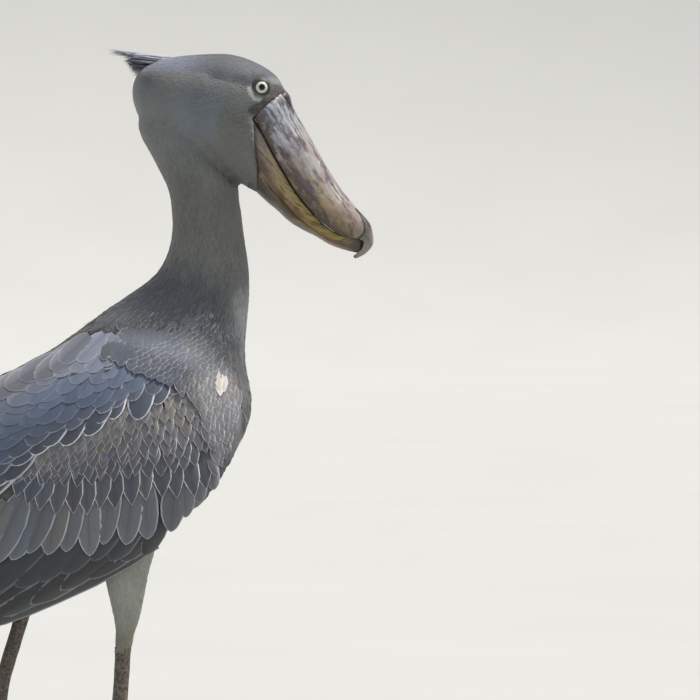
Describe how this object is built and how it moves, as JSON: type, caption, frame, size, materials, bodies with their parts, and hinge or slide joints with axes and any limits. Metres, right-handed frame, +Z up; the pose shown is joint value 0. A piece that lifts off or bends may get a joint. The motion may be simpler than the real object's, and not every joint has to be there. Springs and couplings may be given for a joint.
{
  "type": "shoebill",
  "caption": "Life-size still model of a standing grey wading bird with a massive hooked bill, folded wings, a short crest, long bare legs and long spread toes.",
  "frame": {"origin": "on the floor, under the middle of the bird's bounding box", "axes": "+Z up, +X towards the bill, +Y to the bird's left"},
  "size_m": [0.779, 0.2908, 1.111],
  "materials": {
    "body_feathers": "soft matte plumage",
    "wing_feathers": "matte vaned feathers",
    "skin": "dry scaled skin",
    "horn": "satin horn",
    "claw": "dark satin horn",
    "eye": "wet gloss"
  },
  "bodies": {
    "root": {"breast": "body_feathers", "claw_hind_left": "claw", "claw_hind_right": "claw", "claw_inner_left": "claw", "claw_inner_right": "claw", "claw_middle_left": "claw", "claw_middle_right": "claw", "claw_outer_left": "claw", "claw_outer_right": "claw", "crest": "wing_feathers", "eye_left": "eye", "eye_right": "eye", "foot_left": "skin", "foot_right": "skin", "head": "body_feathers", "lower_bill": "horn", "neck_lower": "body_feathers", "neck_upper": "body_feathers", "rump": "body_feathers", "shank_left": "skin", "shank_right": "skin", "tail": "wing_feathers", "tarsus_left": "skin", "tarsus_right": "skin", "thigh_left": "body_feathers", "thigh_right": "body_feathers", "torso": "body_feathers", "upper_bill": "horn", "wing_left": "wing_feathers", "wing_right": "wing_feathers"}
  },
  "joints": []
}
